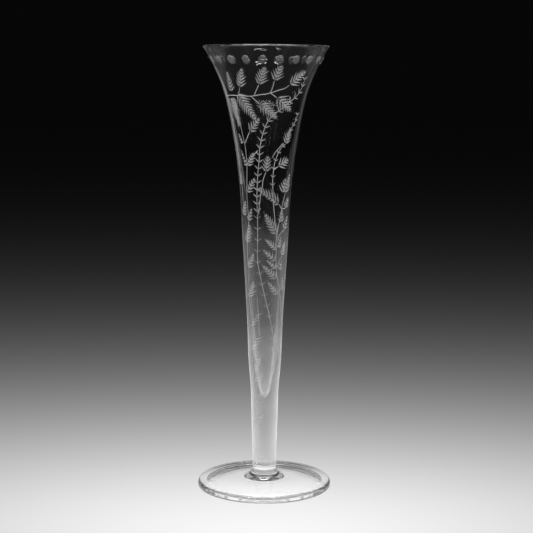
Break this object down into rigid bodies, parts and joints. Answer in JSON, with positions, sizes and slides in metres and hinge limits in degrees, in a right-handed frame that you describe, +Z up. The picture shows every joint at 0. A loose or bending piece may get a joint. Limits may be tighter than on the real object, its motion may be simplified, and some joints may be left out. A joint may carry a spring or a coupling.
{
  "type": "lily vase",
  "caption": "Tall clear glass lily vase: a slender trumpet drawn out into a solid stem on a thick disc foot, engraved with fern sprays and rings of cut dots.",
  "frame": {"origin": "on the surface that the vase stands on, under the middle of the foot", "axes": "+Z up along the vase's axis, towards the rim; -Y towards the engraving's front"},
  "size_m": [0.1088, 0.1088, 0.356],
  "materials": {
    "clear_glass": "clear and fire-polished, with matte engraving"
  },
  "bodies": {
    "root": {"trumpet_body": "clear_glass", "joining_pad": "clear_glass", "foot": "clear_glass"}
  },
  "joints": []
}
